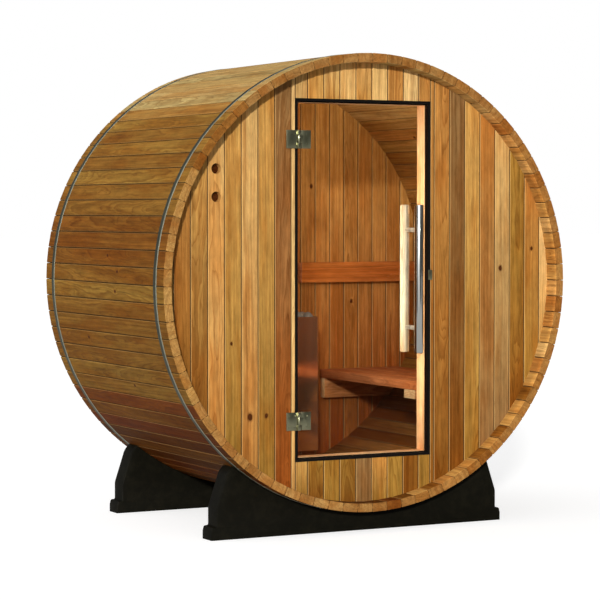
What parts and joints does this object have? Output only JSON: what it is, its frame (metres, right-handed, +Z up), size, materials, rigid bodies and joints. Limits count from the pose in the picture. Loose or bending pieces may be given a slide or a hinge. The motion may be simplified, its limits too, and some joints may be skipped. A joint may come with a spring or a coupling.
{
  "type": "barrel sauna",
  "caption": "Round stave cabin lying on two moulded cradles, with steel hoops, boarded ends and a tinted glass door with an upright tube handle.",
  "frame": {"origin": "on the ground under the middle of the barrel", "axes": "+X right seen from the front, +Y from the door to the back along the barrel's axis, +Z up"},
  "size_m": [1.8312, 1.2, 1.914],
  "materials": {
    "staves": "satin oiled cedar",
    "front_boards": "satin oiled cedar",
    "back_boards": "satin oiled cedar",
    "hoop_steel": "dull",
    "cradle_plastic": "matte",
    "frame_wood": "satin",
    "seal_rubber": "satin",
    "hinge_steel": "polished",
    "tinted_glass": "clear bronze tint",
    "handle_chrome": "mirror",
    "handle_wood": "satin",
    "bench_wood": "sanded",
    "heater_steel": "polished",
    "stones": "rough",
    "plug_wood": "sanded"
  },
  "bodies": {
    "barrel": {"stave_panel_01": "staves", "stave_panel_02": "staves", "stave_panel_03": "staves", "stave_panel_04": "staves", "stave_panel_05": "staves", "stave_panel_06": "staves", "stave_panel_07": "staves", "stave_panel_08": "staves", "stave_panel_09": "staves", "stave_panel_10": "staves", "stave_panel_11": "staves", "stave_panel_12": "staves", "front_wall_left": "front_boards", "front_wall_right": "front_boards", "front_wall_over_door": "front_boards", "front_wall_under_door": "front_boards", "back_wall": "back_boards", "front_hoop": "hoop_steel", "rear_hoop": "hoop_steel", "front_cradle": "cradle_plastic", "rear_cradle": "cradle_plastic", "door_jamb_left": "frame_wood", "door_jamb_right": "frame_wood", "door_head": "frame_wood", "door_sill": "frame_wood", "door_seal": "seal_rubber", "strike_plate": "hinge_steel", "upper_hinge_leaf": "hinge_steel", "lower_hinge_leaf": "hinge_steel", "bench_slats": "bench_wood", "bench_supports": "bench_wood", "back_brace_left": "bench_wood", "back_brace_right": "bench_wood", "heater_body": "heater_steel", "heater_stones": "stones", "vent_plugs": "plug_wood"},
    "door": {"door_glass": "tinted_glass", "upper_hinge_clamp": "hinge_steel", "lower_hinge_clamp": "hinge_steel", "outer_handle": "handle_chrome", "inner_handle": "handle_wood", "handle_studs": "handle_chrome"}
  },
  "joints": [
    {"name": "door_hinge", "type": "hinge", "parent": "barrel", "child": "door", "pos_m": [-0.2975, -0.5355, 1.0114], "axis": [0, 0, -1], "range_deg": [0, 110]}
  ]
}
